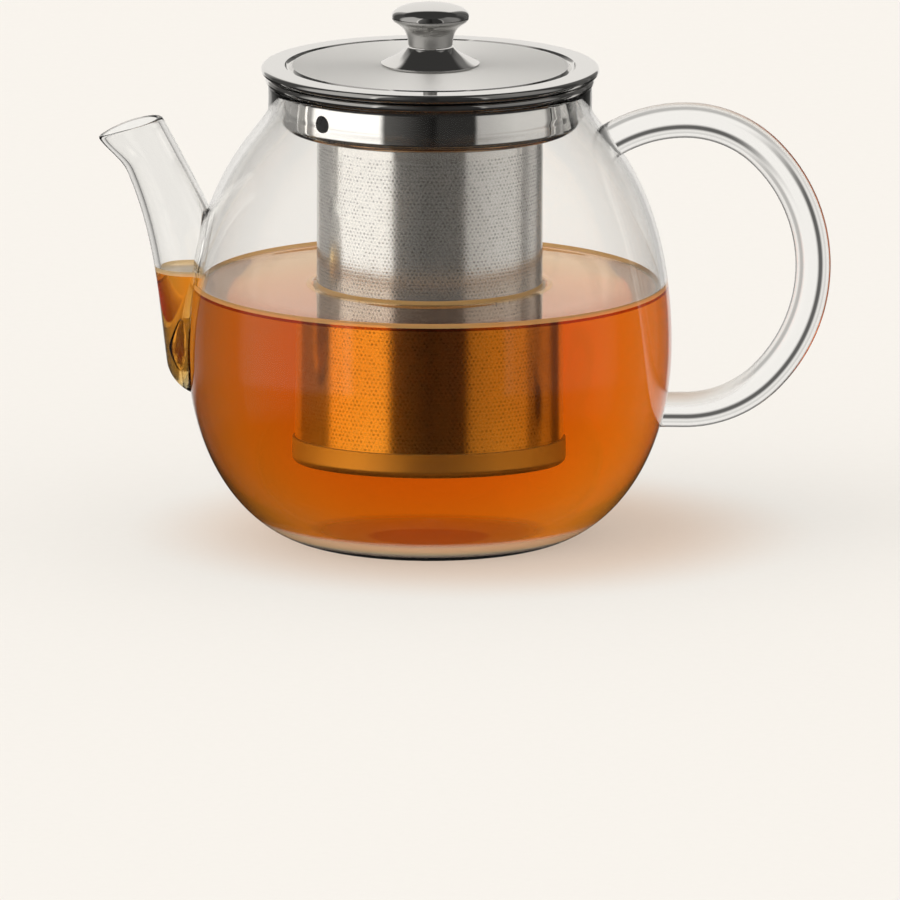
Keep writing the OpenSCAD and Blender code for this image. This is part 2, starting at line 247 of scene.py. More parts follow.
def revolve(name, outline, material, steps=TURN):
    """Turns an outline of (radius, height) points round the axis. A closed outline has its points
    anticlockwise, and a point on the axis becomes one pole."""
    points, rings = [], []
    for p in outline:
        if p.x < 1e-6:
            rings.append([len(points)] * steps)
            points.append((0, 0, p.y))
        else:
            rings.append([len(points) + k for k in range(steps)])
            points += [(p.x * math.cos(math.tau * k / steps), p.x * math.sin(math.tau * k / steps), p.y)
                       for k in range(steps)]
    pairs = list(zip(rings, rings[1:]))
    if outline[0].x > 1e-6:
        pairs.append((rings[-1], rings[0]))
    faces = []
    for low, high in pairs:
        for k in range(steps):
            corners = (low[k], low[(k + 1) % steps], high[(k + 1) % steps], high[k])
            face = tuple(dict.fromkeys(corners))
            if len(face) > 2:
                faces.append(face)
    return piece(name, points, faces, material)


def loft(name, rings, material):
    """Skins a list of closed rings, and closes the two ends."""
    sides = len(rings[0])
    points = [p for ring in rings for p in ring]
    faces = []
    for i in range(len(rings) - 1):
        for k in range(sides):
            a, b = i * sides + k, i * sides + (k + 1) % sides
            faces.append((a, b, b + sides, a + sides))
    last = len(points)
    for ring, first in ((rings[0], 0), (rings[-1], last - sides)):
        centre = len(points)
        points.append(sum((Vector(p) for p in ring), Vector()) / sides)
        for k in range(sides):
            a, b = first + k, first + (k + 1) % sides
            faces.append((b, a, centre) if first == 0 else (a, b, centre))
    return piece(name, points, faces, material)


def carve(made, tool, how="DIFFERENCE"):
    """Cuts one solid with another, or joins them, and drops the tool."""
    step = made.modifiers.new("carve", "BOOLEAN")
    step.operation = how
    step.solver = "EXACT"
    step.object = tool
    graph = bpy.context.evaluated_depsgraph_get()
    mesh = bpy.data.meshes.new_from_object(made.evaluated_get(graph))
    made.modifiers.clear()
    made.data = mesh
    bpy.data.objects.remove(tool)
    smooth(made)
    return made


# ---------------------------------------------------------------- materials
def shader(name):
    """A new material, with its node tree and its surface shader."""
    material = bpy.data.materials.new(name)
    material.use_nodes = True
    tree = material.node_tree
    return material, tree, tree.nodes["Principled BSDF"]


def node(tree, kind, **values):
    made = tree.nodes.new(kind)
    for key, value in values.items():
        setattr(made, key, value)
    return made


def calc(tree, operation, *inputs):
    """A math node. An input is a number or another node's output."""
    made = node(tree, "ShaderNodeMath", operation=operation)
    for i, value in enumerate(inputs):
        if isinstance(value, (int, float)):
            made.inputs[i].default_value = value
        else:
            tree.links.new(value, made.inputs[i])
    return made.outputs[0]


def spread(tree, value, low, high, to_low, to_high, smoothly=True):
    """Maps a value from one range to another, with soft ends."""
    made = node(tree, "ShaderNodeMapRange", interpolation_type="SMOOTHSTEP" if smoothly else "LINEAR")
    tree.links.new(value, made.inputs["Value"])
    for key, number in (("From Min", low), ("From Max", high), ("To Min", to_low), ("To Max", to_high)):
        made.inputs[key].default_value = number
    return made.outputs["Result"]


def chart(tree, value, stops):
    """Reads a level off a chart of (place, level) points joined by straight lines."""
    first, last = stops[0][0], stops[-1][0]
    peak = max(level for place, level in stops)
    ramp = node(tree, "ShaderNodeValToRGB")
    tree.links.new(spread(tree, value, first, last, 0, 1, smoothly=False), ramp.inputs[0])
    points = ramp.color_ramp.elements
    for i, (place, level) in enumerate(stops):
        share = (place - first) / (last - first)
        point = points[i] if i < 2 else points.new(share)
        point.position = share
        point.color = (level / peak, level / peak, level / peak, 1)
    return calc(tree, "MULTIPLY", ramp.outputs[0], peak)


def blend(tree, share, first, second):
    """Goes from the first level to the second as share goes from 0 to 1."""
    return calc(tree, "ADD", calc(tree, "MULTIPLY", first, calc(tree, "SUBTRACT", 1, share)),
                calc(tree, "MULTIPLY", second, share))


def blend_colours(tree, share, first, second):
    made = node(tree, "ShaderNodeMix", data_type="RGBA", clamp_factor=False)
    for key, value in (("Factor", share), ("A", first), ("B", second)):
        socket = [s for s in made.inputs if s.name == key and s.enabled][0]
        if isinstance(value, (int, float)):
            socket.default_value = value
        elif isinstance(value, tuple):
            socket.default_value = (*value, 1)
        else:
            tree.links.new(value, socket)
    return [s for s in made.outputs if s.enabled][0]


def noise(tree, place, scale, detail=2.0):
    made = node(tree, "ShaderNodeTexNoise")
    made.inputs["Scale"].default_value = scale
    made.inputs["Detail"].default_value = detail
    tree.links.new(place, made.inputs["Vector"])
    return made.outputs["Fac"]


def bump(tree, bsdf, height, distance, strength=1.0):
    made = node(tree, "ShaderNodeBump")
    made.inputs["Strength"].default_value = strength
    made.inputs["Distance"].default_value = distance
    tree.links.new(height, made.inputs["Height"])
    tree.links.new(made.outputs["Normal"], bsdf.inputs["Normal"])


def place_of(tree):
    """A point's place in the part's own frame, as a vector and as its three lengths in metres."""
    vector = node(tree, "ShaderNodeTexCoord").outputs["Object"]
    split = node(tree, "ShaderNodeSeparateXYZ")
    tree.links.new(vector, split.inputs[0])
    return vector, split.outputs["X"], split.outputs["Y"], split.outputs["Z"]


def distance(tree, a, b):
    """The long side of a right-angled triangle with the short sides a and b."""
    return calc(tree, "SQRT", calc(tree, "ADD", calc(tree, "MULTIPLY", a, a), calc(tree, "MULTIPLY", b, b)))


def product(tree, first, *others):
    """Levels multiplied together."""
    for other in others:
        first = calc(tree, "MULTIPLY", first, other)
    return first


def less(tree, level, share, drop):
    """A level lowered by a share of a drop."""
    return calc(tree, "SUBTRACT", level, calc(tree, "MULTIPLY", share, drop))


def wetted_glass(tree, away, up, x):
    """Where tea touches the pot's inner face, and the spout up to its tea."""
    low, step = 4, 4
    middle = chart(tree, up, [(h, wall_r(glass_t / 2, h)) for h in range(low, int(tea_z) + step, step)])
    in_pot = product(tree, calc(tree, "LESS_THAN", away, middle), calc(tree, "GREATER_THAN", up, low),
                     calc(tree, "LESS_THAN", up, tea_z))
    in_spout = product(tree, calc(tree, "LESS_THAN", x, (glass_t - belly_r) * MM),
                       calc(tree, "GREATER_THAN", up, handle_low), calc(tree, "LESS_THAN", up, spout_tea_z))
    return calc(tree, "MAXIMUM", in_pot, in_spout)


def glass_material():
    """Clear blown glass: slow waves from blowing, and a painted pale highlight band above a painted golden
    line in the thick heel.
    Where tea wets the glass, it hardly mirrors."""
    material, tree, bsdf = shader("clear_glass")
    place, x, y, z = place_of(tree)
    away = calc(tree, "DIVIDE", distance(tree, x, y), MM)
    up = calc(tree, "DIVIDE", z, MM)

    # a slanting line parts the heel's outer face from its inner one
    line_slope, line_start, line_soft = 1.18, 39.0, 0.4
    beyond = calc(tree, "SUBTRACT", away, calc(tree, "MULTIPLY", up, line_slope))
    outside = spread(tree, beyond, line_start - line_soft, line_start + line_soft, 0, 1)
    # painted highlight: a pale band on the heel's outer face, with a painted dark golden line below it for
    # the tea seen through the rim; both make the glass less clear there
    band = [(0, 0), (2.6, 0), (4.2, 1), (6.4, 0.85), (8.2, 0), (9, 0)]    # strength by height
    gold_low, gold_high = 2.4, 3.4
    painted_heel_highlight = calc(tree, "MULTIPLY", chart(tree, up, band), outside)
    painted_gold_line = calc(tree, "MULTIPLY", spread(tree, up, gold_low, gold_high, 1, 0), outside)
    colour = blend_colours(tree, painted_heel_highlight, (1.0, 0.998, 0.99), (0.84, 0.71, 0.47))
    tree.links.new(blend_colours(tree, painted_gold_line, colour, (0.60, 0.24, 0.05)), bsdf.inputs["Base Color"])
    clear = less(tree, less(tree, 1, painted_heel_highlight, 0.72), painted_gold_line, 0.8)
    tree.links.new(clear, bsdf.inputs["Transmission Weight"])

    mirror = blend_colours(tree, wetted_glass(tree, away, up, x), (1.0, 1.0, 1.0), (0.05, 0.05, 0.05))
    tree.links.new(mirror, bsdf.inputs["Specular Tint"])
    bsdf.inputs["IOR"].default_value = 1.47
    tree.links.new(spread(tree, noise(tree, place, 18), 0.3, 0.8, 0.0, 0.012), bsdf.inputs["Roughness"])
    bump(tree, bsdf, noise(tree, place, 9, 1), 0.0006, 0.25)
    return material


def tea_material(name, ior, density):
    """Clear amber tea: the longer the way through it, the deeper the colour."""
    material, tree, bsdf = shader(name)
    place = place_of(tree)[0]
    cloud = spread(tree, noise(tree, place, 30), 0.3, 0.7, 0, 1)
    body = blend_colours(tree, cloud, (1.0, 0.97, 0.88), (0.98, 0.95, 0.86))
    tree.links.new(body, bsdf.inputs["Base Color"])
    bsdf.inputs["Transmission Weight"].default_value = 1
    bsdf.inputs["Roughness"].default_value = 0
    bsdf.inputs["IOR"].default_value = ior
    absorb = node(tree, "ShaderNodeVolumeAbsorption")
    absorb.inputs["Color"].default_value = (0.945, 0.667, 0.01, 1)
    absorb.inputs["Density"].default_value = density
    tree.links.new(absorb.outputs[0], tree.nodes["Material Output"].inputs["Volume"])
    return material, tree, bsdf, body


def surface_masks(tree, level):
    """Where a face of the tea is: its height above the level, its distance from the axis, whether it is
    at the surface, and whether it is on the flat part of the surface."""
    x, y, z = place_of(tree)[1:]
    above = calc(tree, "SUBTRACT", calc(tree, "DIVIDE", z, MM), level)
    radius = calc(tree, "DIVIDE", distance(tree, x, y), MM)
    upright = node(tree, "ShaderNodeSeparateXYZ")
    tree.links.new(node(tree, "ShaderNodeNewGeometry").outputs["Normal"], upright.inputs[0])
    at_top = spread(tree, above, -0.12, -0.02, 0, 1)
    level_face = spread(tree, calc(tree, "ABSOLUTE", upright.outputs["Z"]), 0.93, 0.995, 0, 1)
    return above, radius, at_top, calc(tree, "MULTIPLY", at_top, level_face)


def pot_tea_material():
    """The same tea, with a painted highlight line where its surface creeps up the glass and the sleeve, a
    painted shade line below it, a faint painted shade ring at the heel, and a surface that mirrors the pale
    wall."""
    material, tree, bsdf, body = tea_material("tea", 1.18, 58)
    above, radius, at_top, flat = surface_masks(tree, tea_z)
    # painted highlight: a bright golden line where the surface creeps up the glass and round the sleeve,
    # less clear than the tea
    ring_r, ring_soft = sleeve_r + sleeve_reach, 0.5
    painted_ring_highlight = calc(tree, "MULTIPLY", at_top, spread(tree, radius, ring_r, ring_r + ring_soft, 1, 0))
    painted_edge_highlight = calc(tree, "MAXIMUM", calc(tree, "SUBTRACT", at_top, flat), painted_ring_highlight)
    # painted shade: a dark red line just under the surface's edge near the glass
    at_wall, wall_soft = belly_r - 12, 2
    painted_shade_line = product(tree, spread(tree, above, -0.14, -0.10, 1, 0),
                    spread(tree, above, -painted_shade_h, -painted_shade_h + 0.2, 0, 1),
                    spread(tree, radius, at_wall, at_wall + wall_soft, 0, 1))
    # the flat surface goes darker orange towards the glass
    edge, rim_from, rim_to = wall_r(glass_t, tea_z), 15, 3
    rim = calc(tree, "MULTIPLY", flat, spread(tree, radius, edge - rim_from, edge - rim_to, 0, 1))
    # painted shade: a darker orange ring where the tea meets the pot's floor at the heel
    ring_top, ring_in, ring_out = heel_z - tea_z + 0.6, floor_r - 1.3, floor_r - 0.5
    painted_heel_shade = calc(tree, "MULTIPLY", spread(tree, above, ring_top, ring_top + 0.3, 1, 0),
                      spread(tree, radius, ring_in, ring_out, 0, 1))
    colour = blend_colours(tree, flat, body, (0.86, 0.59, 0.37))
    colour = blend_colours(tree, rim, colour, (0.72, 0.36, 0.14))
    colour = blend_colours(tree, painted_heel_shade, colour, (0.75, 0.46, 0.20))
    colour = blend_colours(tree, painted_edge_highlight, colour, (1.0, 0.62, 0.24))
    colour = blend_colours(tree, painted_shade_line, colour, (0.30, 0.06, 0.01))
    tree.links.new(colour, bsdf.inputs["Base Color"])
    tree.links.new(calc(tree, "MULTIPLY", flat, 0.55), bsdf.inputs["Metallic"])
    tree.links.new(less(tree, 1, painted_edge_highlight, 0.5), bsdf.inputs["Transmission Weight"])
    return material


def spout_tea_material():
    """Tea in the narrow spout, with a painted pale golden highlight on its top."""
    material, tree, bsdf, body = tea_material("spout_tea", 1.4, 210)
    at_top = surface_masks(tree, spout_tea_z)[2]
    bsdf.inputs["Specular Tint"].default_value = (0.2, 0.2, 0.2, 1)
    # painted highlight: the top is pale gold and partly opaque
    tree.links.new(blend_colours(tree, at_top, body, (1.0, 0.74, 0.42)), bsdf.inputs["Base Color"])
    tree.links.new(less(tree, 1, at_top, 0.6), bsdf.inputs["Transmission Weight"])
    return material


def polished_material():
    """Mirror polish with faint haze."""
    material, tree, bsdf = shader("polished_steel")
    haze = noise(tree, place_of(tree)[0], 60, 3)
    colour = blend_colours(tree, haze, (0.80, 0.79, 0.78), (0.85, 0.845, 0.83))
    tree.links.new(colour, bsdf.inputs["Base Color"])
    tree.links.new(spread(tree, haze, 0.3, 0.7, 0.03, 0.07), bsdf.inputs["Roughness"])
    bsdf.inputs["Metallic"].default_value = 1
    return material


def satin_material():
    """Spun satin steel: fine rings round the axis."""
    material, tree, bsdf = shader("satin_steel")
    x, y = place_of(tree)[1:3]
    rings_per_metre = 2600
    rings = node(tree, "ShaderNodeTexNoise", noise_dimensions="1D")
    rings.inputs["Scale"].default_value = 1
    rings.inputs["Detail"].default_value = 4
    tree.links.new(calc(tree, "MULTIPLY", distance(tree, x, y), rings_per_metre), rings.inputs["W"])
    lines = rings.outputs["Fac"]
    bsdf.inputs["Metallic"].default_value = 0.75
    bsdf.inputs["Anisotropic"].default_value = 0.8
    round_axis = node(tree, "ShaderNodeTangent", direction_type="RADIAL", axis="Z")
    tree.links.new(round_axis.outputs[0], bsdf.inputs["Tangent"])
    colour = blend_colours(tree, lines, (0.86, 0.855, 0.84), (0.93, 0.925, 0.91))
    tree.links.new(colour, bsdf.inputs["Base Color"])
    tree.links.new(spread(tree, lines, 0.2, 0.8, 0.38, 0.48), bsdf.inputs["Roughness"])
    return material


def filter_material():
    """Thin steel with staggered etched holes, painted dark for the shade seen through them, and a plain
    edge above them.
    """
    material, tree, bsdf = shader("filter_steel")
    place, x, y, z = place_of(tree)
    pitch, plain_edge = 1.2, 4.0
    holes_round = round(math.tau * sleeve_r / pitch)
    row_h = pitch * math.sqrt(3) / 2 * MM
    turn = calc(tree, "MULTIPLY", calc(tree, "ARCTAN2", y, x), holes_round / math.tau)
    row = calc(tree, "DIVIDE", z, row_h)
    odd = calc(tree, "MULTIPLY", calc(tree, "FLOORED_MODULO", calc(tree, "FLOOR", row), 2), 0.5)
    across = calc(tree, "SUBTRACT", calc(tree, "FRACT", calc(tree, "ADD", turn, odd)), 0.5)
    up = calc(tree, "SUBTRACT", calc(tree, "FRACT", row), 0.5)
    edge_z = shoulder_z - plain_edge
    field = spread(tree, z, edge_z * MM, (edge_z + 0.5) * MM, 1, 0)
    speckle = spread(tree, noise(tree, place, 650, 3), 0.35, 0.7, 0.1, 1)
    hole = product(tree, spread(tree, distance(tree, across, up), 0.12, 0.42, 1, 0), speckle, field)
    patch = noise(tree, place, 120, 2)
    steel = blend_colours(tree, patch, (0.73, 0.715, 0.69), (0.79, 0.775, 0.75))
    # painted shade: the holes are dark colour on the steel, for the shaded inside seen through them
    colour = blend_colours(tree, calc(tree, "MULTIPLY", hole, 0.62), steel, (0.16, 0.15, 0.14))
    tree.links.new(colour, bsdf.inputs["Base Color"])
    bsdf.inputs["Metallic"].default_value = 0.78
    tree.links.new(calc(tree, "ADD", calc(tree, "MULTIPLY", field, 0.06), 0.12), bsdf.inputs["Roughness"])
    bump(tree, bsdf, calc(tree, "MULTIPLY", hole, -1), 0.00003, 0.5)
    return material


def floor_material():
    """A plain pale table top, with a painted warm shadow below the tea. Away from the pot it lets
    reflections and what is seen through glass pass, so that they see the room's own pattern."""
    material, tree, bsdf = shader("pale_floor")
    place, x, y = place_of(tree)[:3]
    # painted shadow: a darker, warm patch round a point beside the pot's foot, for its shade and the amber
    # light through the tea
    painted_shadow_x, painted_shadow_y = 0.012, 0.008
    grain = noise(tree, place, 350, 4)
    table = blend_colours(tree, grain, (0.80, 0.785, 0.765), (0.82, 0.805, 0.785))
    tinted = blend_colours(tree, grain, (0.745, 0.62, 0.535), (0.765, 0.64, 0.55))
    from_painted_shadow = distance(tree, calc(tree, "SUBTRACT", x, painted_shadow_x), calc(tree, "SUBTRACT", y, painted_shadow_y))
    colour = blend_colours(tree, spread(tree, from_painted_shadow, 0.05, 0.1, 1, 0), table, tinted)
    tree.links.new(colour, bsdf.inputs["Base Color"])
    bsdf.inputs["Roughness"].default_value = 0.9
    bsdf.inputs["Specular IOR Level"].default_value = 0
    path = node(tree, "ShaderNodeLightPath")
    seen = calc(tree, "MAXIMUM", path.outputs["Is Camera Ray"], path.outputs["Is Diffuse Ray"])
    straight = calc(tree, "LESS_THAN", path.outputs["Glossy Depth"], 0.5)
    near = calc(tree, "MULTIPLY", spread(tree, distance(tree, x, y), 0.10, 0.16, 1, 0), straight)
    mix = node(tree, "ShaderNodeMixShader")
    tree.links.new(calc(tree, "MAXIMUM", seen, near), mix.inputs[0])
    tree.links.new(node(tree, "ShaderNodeBsdfTransparent").outputs[0], mix.inputs[1])
    tree.links.new(bsdf.outputs[0], mix.inputs[2])
    tree.links.new(mix.outputs[0], tree.nodes["Material Output"].inputs["Surface"])
    return material


clear_glass = glass_material()
tea_clear = pot_tea_material()
tea_narrow = spout_tea_material()
polished_steel = polished_material()
satin_steel = satin_material()
filter_steel = filter_material()


# ---------------------------------------------------------------- glass
def pot_solid(aside):
    """The pot without its hollow, thinner by aside."""
    outline = line((0, aside)) + wall(aside) + line((neck_r - aside, rim_z), (0, rim_z))
    return revolve("pot_solid", outline, clear_glass)


def pour_hole(r):
    """A cylinder through the wall behind the spout."""
    centre_z = bulb_z + pour_hole_r / 2
    ends = [-belly_r - 1.5 * glass_t, -belly_r + 2 * glass_t + bulb_in]
    rings = [[(x, r * math.cos(math.tau * k / 48), centre_z + r * math.sin(math.tau * k / 48))
              for k in range(48)] for x in ends]
    return loft("hole", rings, clear_glass)


def glass_pot():
    rim = glass_t / 2
    outline = (line((0, 0)) + wall(0) + arc(neck_r - rim, rim_z - rim, rim, 0, 180)
               + hollow()[::-1] + line((0, floor_t)))
    pot = revolve("glass_pot", outline, clear_glass)
    carve(pot, pour_hole(pour_hole_r))
    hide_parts("glass_body")
    return pot


mouth = Vector((-(belly_r + mouth_out), rim_z - mouth_drop))
bulb = Vector((-(belly_r - bulb_in), bulb_z))
spout_line = [bulb, bulb + bulb_reach * Vector((-math.sin(bulb_lean), math.cos(bulb_lean))),
              mouth - mouth_reach * Vector((-math.sin(mouth_lean), math.cos(mouth_lean))), mouth]
spout_radii = [bulb_r, bulb_r + bulb_hold, mouth_r - throat_in, mouth_r]
SPOUT_SIDES = 72
SPOUT_RINGS = 64


def spout_ring(share, thinner, level=0.0):
    """One ring of the spout. level 1 lays the ring flat, level 0 keeps it square to the spout."""
    at, run = cubic(spout_line, share), cubic_run(spout_line, share)
    lean = math.atan2(-run.x, run.y) - mouth_cut * ease(share, cut_start, 1)
    r = cubic(spout_radii, share) - thinner
    stretch = 1 / math.cos(lean * level)
    lean *= 1 - level
    lip = ease(share, lip_start, 1)
    ring = []
    for i in range(SPOUT_SIDES):
        k = math.tau * i / SPOUT_SIDES
        pour = lip * max(0.0, math.cos(k)) ** 3
        reach = r * stretch * math.cos(k)
        ring.append((at.x - reach * math.cos(lean) - pour * lip_out, r * math.sin(k),
                     at.y - reach * math.sin(lean) - pour * lip_droop))
    return ring


def bulb_rings(thinner, steps=14):
    """The closed end of the bulb, from its pole to its widest ring."""
    run = cubic_run(spout_line, 0).normalized()
    rings = []
    for i in range(1, steps + 1):
        a = math.radians(90 - 90 * i / (steps + 1))
        r, at = (bulb_r - thinner) * math.cos(a), bulb - run * (bulb_r - thinner) * math.sin(a)
        rings.append([(at.x - r * math.cos(k) * run.y, r * math.sin(k), at.y + r * math.cos(k) * run.x)
                      for k in (math.tau * j / SPOUT_SIDES for j in range(SPOUT_SIDES))])
    return rings


def rolled_rim(outer, inner, steps=10):
    """Rings that roll over the mouth's edge from the outer skin to the inner one."""
    run = cubic_run(spout_line, 1).normalized()
    along = Vector((run.x, 0, run.y))
    rings = []
    for i in range(1, steps):
        a = math.pi * i / steps
        ring = []
        for p, q in zip(outer, inner):
            p, q = Vector(p), Vector(q)
            half = (p - q) / 2
            ring.append(q + half + half * math.cos(a) + along * half.length * math.sin(a))
        rings.append(ring)
    return rings


def glass_spout():
    end = 0.985
    shares = [end * i / SPOUT_RINGS for i in range(SPOUT_RINGS + 1)]
    outer = bulb_rings(0) + [spout_ring(s, 0) for s in shares]
    inner = bulb_rings(spout_t) + [spout_ring(s, spout_t) for s in shares]
    spout = loft("glass_spout", outer + rolled_rim(outer[-1], inner[-1]) + inner[::-1], clear_glass)
    carve(spout, pot_solid(weld_sink))
    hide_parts("spout")
    return spout


def rod_path():
    """The handle's middle line in the X-Z plane, from the shoulder to the belly."""
    half_w, half_h = handle_x - crown_x, (crown_z - handle_low) / 2
    join = math.cos(math.radians(45))
    crown_bend = (join * half_w - (1 - join) * half_h) / (2 * join - 1)
    side_bend = (join * half_h - (1 - join) * half_w) / (2 * join - 1)
    side_x = crown_x + (crown_bend - side_bend) * join
    turn = 90
    while crown_x + shoulder_bend * math.cos(math.radians(turn)) > wall_r(
            0, crown_z - shoulder_bend + shoulder_bend * math.sin(math.radians(turn))) - glass_t:
        turn += 0.25
    path = arc(crown_x, crown_z - shoulder_bend, shoulder_bend, turn, 90, 40)
    path += arc(crown_x, crown_z - crown_bend, crown_bend, 90, 45, 40)[1:]
    path += arc(side_x, (crown_z + handle_low) / 2, side_bend, 45, -45, 60)[1:]
    path += arc(crown_x, handle_low + crown_bend, crown_bend, -45, -90, 40)[1:]
    end_x = wall_r(0, handle_low) - glass_t
    steps = 16
    path += [Vector((crown_x + (end_x - crown_x) * i / steps, handle_low)) for i in range(1, steps + 1)]
    return path


def glass_handle():
    """The bent rod. It swells where it is fused to the pot."""
    path, sides = rod_path(), 64
    gone = [0.0]
    for a, b in zip(path, path[1:]):
        gone.append(gone[-1] + (b - a).length)
    rings = []
    for i, at in enumerate(path):
        run = (path[min(i + 1, len(path) - 1)] - path[max(i - 1, 0)]).normalized()
        to_end = min(gone[i], gone[-1] - gone[i])
        r = rod_r + (weld_r - rod_r) * ease(to_end, weld_len + 2 * glass_t, glass_t)
        rings.append([(at.x + r * math.cos(k) * run.y, r * math.sin(k), at.y - r * math.cos(k) * run.x)
                      for k in (math.tau * j / sides for j in range(sides))])
    handle = loft("glass_handle", rings, clear_glass)
    carve(handle, pot_solid(weld_sink))
    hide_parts("handle")
    return handle


# ---------------------------------------------------------------- tea
def tea_body():
    """The tea in the pot, with its curved edge at the glass and at the sleeve."""
    aside = glass_t - tea_overlap
    top = tea_z + wall_rise
    side = [p for p in hollow(tea_overlap) if p.y < top - 0.2] + line((wall_r(aside, top), top))
    creep = 0.9
    reach = [0.1, 0.25, 0.45, 0.7, 1.0, 1.4, 1.9, 2.6, 3.6, 5.0]
    outer = [Vector((wall_r(aside, top) - d, tea_z + wall_rise * math.exp(-d / creep))) for d in reach]
    ring = [Vector((sleeve_r + d, tea_z + sleeve_rise * math.exp(-d / creep))) for d in reversed(reach)]
    inside = [Vector((sleeve_r - sleeve_t - d, tea_z + sleeve_rise * math.exp(-d / creep))) for d in reach]
    sleeve_mid = sleeve_r - sleeve_t / 2
    outline = (line((0, floor_t - tea_overlap)) + side + outer + ring
               + line((sleeve_mid, tea_z + sleeve_rise)) + inside + line((0, tea_z)))
    return revolve("tea", outline, tea_clear)


def tea_in_spout():
    """The tea in the spout, up to its own level."""
    thinner = spout_t - tea_overlap
    share, steps = 0.0, 400
    while cubic(spout_line, share).y < spout_tea_z + spout_rise:
        share += 1 / steps
    count = 26
    rings = bulb_rings(thinner)
    rings += [spout_ring(share * i / count, thinner, level=ease(i / count, 0.5, 1))
              for i in range(count + 1)]
    top = rings[-1]
    middle = sum((Vector(p) for p in top), Vector()) / len(top)
    creep = 1.6
    for d in (0.2, 0.5, 1.0, 1.7, 2.6, 3.8, 5.5, 7.5):
        drop = spout_rise * (1 - math.exp(-d / creep))
        rings.append([middle + (Vector(p) - middle) * (1 - d / cubic(spout_radii, share))
                      - Vector((0, 0, drop)) for p in top])
    return loft("tea_in_spout", rings, tea_narrow)


def spout_tea():
    """The spout's tea ends at the pot's wall, where the plug in the pouring hole meets it."""
    filling = tea_in_spout()
    carve(filling, pot_solid(tea_overlap))
    return filling


def pot_tea():
    """The pot's tea, with the plug that fills the pouring hole."""
    plug = pour_hole(pour_hole_r + tea_overlap)
    carve(plug, pot_solid(tea_overlap), "INTERSECT")
    made = tea_body()
    carve(made, plug, "UNION")
    made.data.materials.clear()
    made.data.materials.append(tea_clear)
    return made


# ---------------------------------------------------------------- infuser
def collar():
    bead = flange_h / 2
    bead_r, bead_z = flange_r - bead, flange_top - bead
    plate_z = flange_top - collar_t
    corner_r, corner_z = collar_r - collar_corner, shoulder_z + collar_corner
    sleeve_in = sleeve_r - sleeve_t
    turn_in = 1.2
    outline = (arc(bead_r, bead_z, bead, -180, 90)
               + arc(collar_r - collar_t + turn_in, flange_top - turn_in, turn_in, 90, 180, 6)
               + line((collar_r - collar_t, corner_z))
               + arc(corner_r, corner_z, collar_corner - collar_t, 0, -90)
               + line((sleeve_in, shoulder_z + collar_t), (sleeve_in, shoulder_z))
               + arc(corner_r, corner_z, collar_corner, -90, 0)
               + line((collar_r, plate_z), (bead_r - bead, plate_z)))
    made = revolve("collar", outline, polished_steel)
    sides = 40
    out = Vector((-math.sin(vent_turn), -math.cos(vent_turn), 0))
    aside = Vector((-out.y, out.x, 0))
    start = Vector((0, 0, shoulder_z + vent_up))
    rings = [[start + out * reach + aside * vent_r * math.cos(k) + Vector((0, 0, vent_r * math.sin(k)))
              for k in (math.tau * j / sides for j in range(sides))]
             for reach in (collar_r - 3 * collar_t, collar_r + 3 * collar_t)]
    carve(made, loft("vent", rings, polished_steel))
    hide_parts("infuser_collar")
    return made


def filter_sleeve():
    inner = sleeve_r - sleeve_t
    outline = line((sleeve_r, sleeve_low), (sleeve_r, shoulder_z), (inner, shoulder_z), (inner, sleeve_low))
    made = revolve("filter_sleeve", outline, filter_steel)
    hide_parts("infuser_sleeve")
    return made


def filter_band():
    """The band that holds the base, with its lip turned under."""
    thick = band_r - sleeve_r
    corner_r, corner_z = band_r - band_corner, band_low + band_corner
    lip_r = sleeve_r - band_lip
    soft = 0.15
    outline = (line((lip_r, band_low)) + arc(corner_r, corner_z, band_corner, -90, 0)
               + line((band_r, band_top - soft), (band_r - soft, band_top), (sleeve_r, band_top))
               + arc(corner_r, corner_z, band_corner - thick, 0, -90) + line((lip_r, band_low + thick)))
    made = revolve("filter_band", outline, satin_steel)
    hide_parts("infuser_band")
    return made


# ---------------------------------------------------------------- lid
def lid_plate():
    bead = lid_edge_h / 2
    bead_r, bead_z = lid_r - bead, lid_z + bead
    under = lid_top - lid_t
    groove_r = lid_r - lid_ring_w
    valley = [Vector((groove_r + groove_w * math.cos(a), -groove_d * math.sin(a) ** 2))
              for a in (math.pi * i / EDGE for i in range(EDGE + 1))]
    outline = (line((screw_hole_r, under))
               + [p + Vector((0, under)) for p in reversed(valley)]
               + line((bead_r - bead, under)) + arc(bead_r, bead_z, bead, 180, 450, 2 * EDGE)
               + [p + Vector((0, lid_top)) for p in valley]
               + line((screw_hole_r, lid_top)))
    made = revolve("lid_plate", outline, satin_steel)
    made.data.materials.append(polished_steel)
    for face in made.data.polygons:
        if math.hypot(face.center.x, face.center.y) > (groove_r - groove_w) * MM:
            face.material_index = 1
    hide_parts("lid_disc")
    return made


def ferrule():
    """The knob's trumpet-shaped foot. Its flare is a little fuller than the solid's, inside its box."""
    edge = 0.8
    trumpet = line((ferrule_r, lid_top + edge), (ferrule_r - 2.2, lid_top + edge + 1.1),
                   (waist_r + 1.0, waist_z - 1.7), (waist_r, waist_z))
    joint = 0.18
    outline = (line((screw_hole_r, lid_top), (ferrule_r - edge / 2, lid_top),
                    (ferrule_r, lid_top + edge / 2))
               + [p for p in curve(trumpet, steps=48) if p.y < waist_z - joint]
               + line((waist_r - joint, waist_z - joint / 3), (screw_hole_r, waist_z)))
    made = revolve("ferrule", outline, polished_steel)
    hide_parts("knob_ferrule")
    return made


